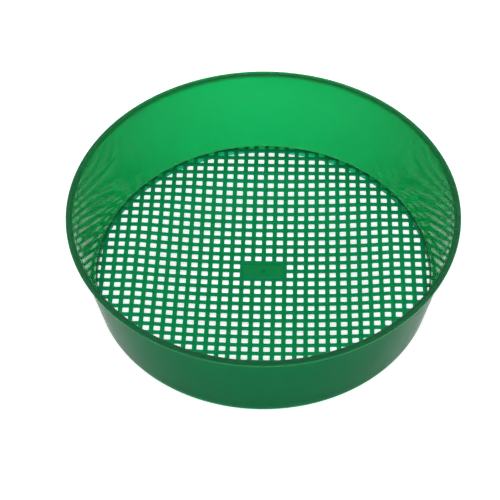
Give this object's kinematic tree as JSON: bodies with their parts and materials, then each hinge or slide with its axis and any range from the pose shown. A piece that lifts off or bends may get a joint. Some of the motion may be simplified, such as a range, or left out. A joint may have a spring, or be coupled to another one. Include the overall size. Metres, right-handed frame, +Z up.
{
  "type": "soil sieve",
  "caption": "Round one-piece plastic garden riddle: a tapered bowl with a rounded lip and a dished floor of square mesh, for sifting soil and compost.",
  "frame": {"origin": "middle of the ring that the foot stands on, on the ground", "axes": "+Z up, towards the open mouth; the ribs of the mesh run along X and Y, and the long side of the centre plate is along X"},
  "size_m": [0.3696, 0.3696, 0.0968],
  "materials": {
    "green_polypropylene": "injection-moulded polypropylene, glossy and slightly translucent, mid green"
  },
  "bodies": {
    "root": {"rim_lip": "green_polypropylene", "side_wall": "green_polypropylene", "foot_ring": "green_polypropylene", "mesh_border": "green_polypropylene", "long_ribs": "green_polypropylene", "cross_ribs": "green_polypropylene", "centre_plate": "green_polypropylene", "gate_stub": "green_polypropylene"}
  },
  "joints": []
}
